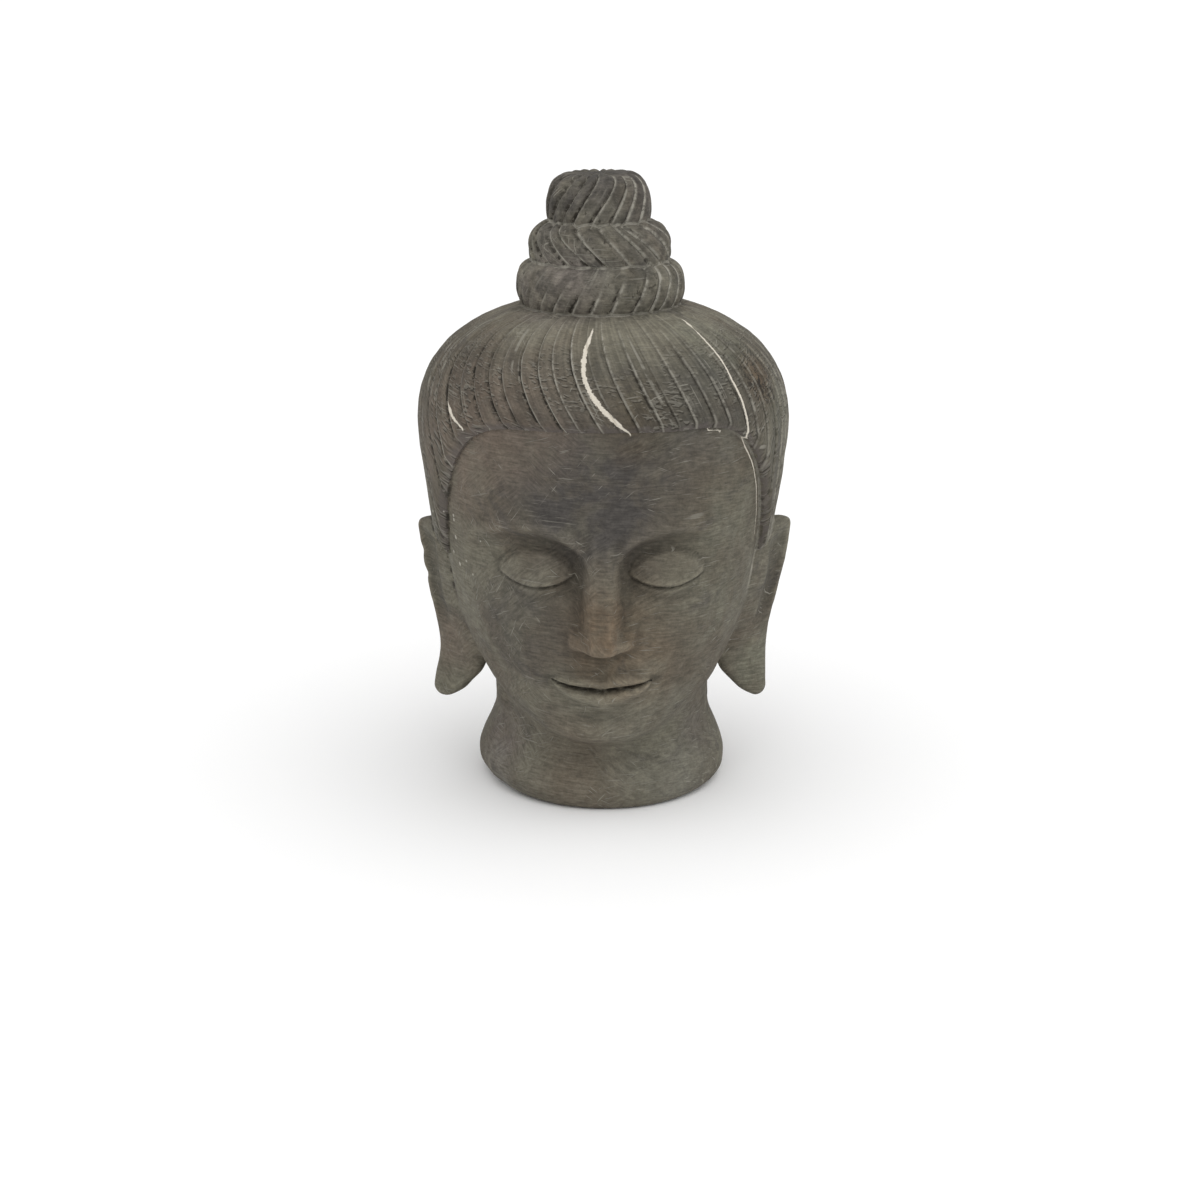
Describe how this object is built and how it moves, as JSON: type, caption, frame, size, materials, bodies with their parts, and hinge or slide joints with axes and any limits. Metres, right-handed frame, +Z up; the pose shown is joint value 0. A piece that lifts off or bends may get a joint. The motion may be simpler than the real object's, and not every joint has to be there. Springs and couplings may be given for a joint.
{
  "type": "stone buddha head",
  "caption": "Hand-carved stone buddha head with a coiled topknot, swept hair, closed eyes and long ear lobes, standing on its own flared neck.",
  "frame": {"origin": "middle of the flat underside of the neck", "axes": "+Z up through the topknot, -Y the way the face looks, +X to the right of someone looking at the face"},
  "size_m": [0.1611, 0.1696, 0.26],
  "materials": {
    "stone": "matte, hand-rasped, unpolished"
  },
  "bodies": {
    "root": {"carved_stone_head": "stone"}
  },
  "joints": []
}
